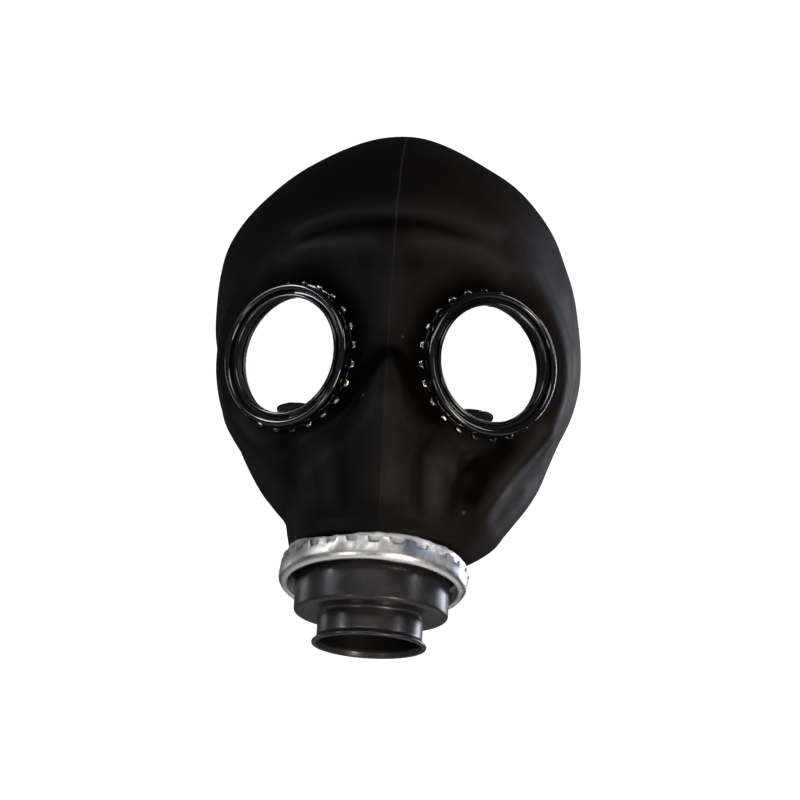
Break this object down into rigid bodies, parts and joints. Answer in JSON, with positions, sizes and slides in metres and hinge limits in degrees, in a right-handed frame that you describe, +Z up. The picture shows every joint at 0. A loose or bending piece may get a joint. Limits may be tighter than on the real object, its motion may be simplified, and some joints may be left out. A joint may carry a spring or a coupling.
{
  "type": "gas mask style costume mask",
  "caption": "Gas mask style costume mask: open-backed rubber face hood with round glass eyepieces and a clamped metal valve box under the chin.",
  "frame": {"origin": "centre plane of the face, level with the eyepieces, midway between the wearer's ears", "axes": "+X to the right as seen from the front, +Y out of the open back, away from the face, +Z up"},
  "size_m": [0.1768, 0.1536, 0.2581],
  "materials": {
    "black_rubber": "satin, a little dusty",
    "black_lacquer": "gloss",
    "valve_lacquer": "gloss",
    "clamp_sheet": "rolled, stained",
    "clear_glass": "clear"
  },
  "bodies": {
    "root": {"face_hood": "black_rubber", "air_duct_left": "black_rubber", "air_duct_right": "black_rubber", "inlet_flap": "black_rubber", "eye_rim_left": "black_lacquer", "eye_rim_right": "black_lacquer", "glass_retainer_left": "black_lacquer", "glass_retainer_right": "black_lacquer", "tooth_ring_left": "black_lacquer", "tooth_ring_right": "black_lacquer", "backing_ring_left": "black_lacquer", "backing_ring_right": "black_lacquer", "eye_glass_left": "clear_glass", "eye_glass_right": "clear_glass", "valve_box": "valve_lacquer", "clamp_band": "clamp_sheet", "clamp_collar": "clamp_sheet"}
  },
  "joints": []
}
